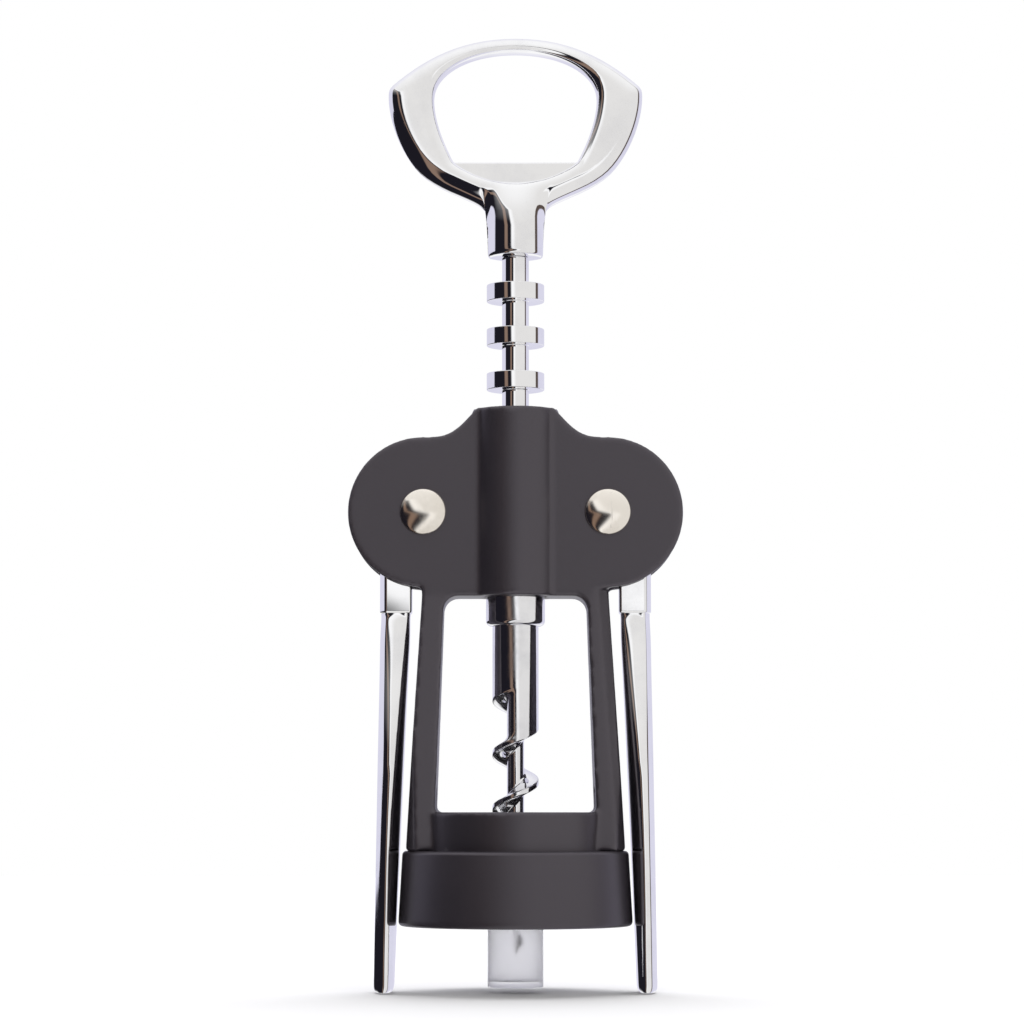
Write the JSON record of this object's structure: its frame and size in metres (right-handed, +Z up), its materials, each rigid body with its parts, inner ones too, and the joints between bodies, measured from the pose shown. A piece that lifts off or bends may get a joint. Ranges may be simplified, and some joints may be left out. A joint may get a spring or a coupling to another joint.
{
  "type": "lever corkscrew",
  "caption": "Lever corkscrew: two geared side levers lift a ringed rack with a worm; the handle is a bottle opener; black frame with a bell for the bottle's neck.",
  "frame": {"origin": "centre of the bell's mouth, where the bottle's neck goes in", "axes": "+Z up the spindle to the handle, +X towards the right lever, -Y is the front with the domed rivet heads"},
  "size_m": [0.0668, 0.0464, 0.1922],
  "materials": {
    "satin_black": "soft satin charcoal coating",
    "black_moulding": "fine matte",
    "liner_plastic": "plain matte",
    "chrome_plate": "polished plating over a casting",
    "plated_steel": "bright plating, slightly worn",
    "plain_steel": "turned",
    "nickel_plate": "warm nickel, softly polished",
    "milky_plastic": "translucent, milky"
  },
  "bodies": {
    "frame": {"frame_casting": "satin_black", "bell_skirt": "black_moulding", "neck_liner": "liner_plastic", "left_rivet": "nickel_plate", "right_rivet": "nickel_plate", "left_rivet_cap": "nickel_plate", "right_rivet_cap": "nickel_plate"},
    "rack": {"rack_sleeve": "chrome_plate"},
    "spindle": {"spindle_shaft": "plain_steel", "opener_handle": "chrome_plate", "handle_pin": "plain_steel", "worm_collar": "chrome_plate", "collar_pin": "plain_steel", "worm": "plated_steel"},
    "left_arm": {"left_lever": "chrome_plate"},
    "right_arm": {"right_lever": "chrome_plate"},
    "guard": {"tip_guard": "milky_plastic"}
  },
  "joints": [
    {"name": "rack_slide", "type": "slide", "parent": "frame", "child": "rack", "axis": [0, 0, -1], "range_m": [0, 0.0374]},
    {"name": "left_lever_swing", "type": "hinge", "parent": "frame", "child": "left_arm", "pos_m": [-0.0184, 0, 0.082], "axis": [0, 1, 0], "range_deg": [0, 150]},
    {"name": "right_lever_swing", "type": "hinge", "parent": "frame", "child": "right_arm", "pos_m": [0.0184, 0, 0.082], "axis": [0, -1, 0], "range_deg": [0, 150]},
    {"name": "spindle_turn", "type": "hinge", "parent": "rack", "child": "spindle", "pos_m": [0, 0, 0.0702], "axis": [0, 0, -1], "continuous": true},
    {"name": "guard_pull", "type": "slide", "parent": "spindle", "child": "guard", "axis": [0, 0, -1], "range_m": [0, 0.03]}
  ],
  "couplings": [
    {"joint": "left_lever_swing", "follows": "rack_slide", "rad_per_m": 69.813},
    {"joint": "right_lever_swing", "follows": "rack_slide", "rad_per_m": 69.813}
  ]
}
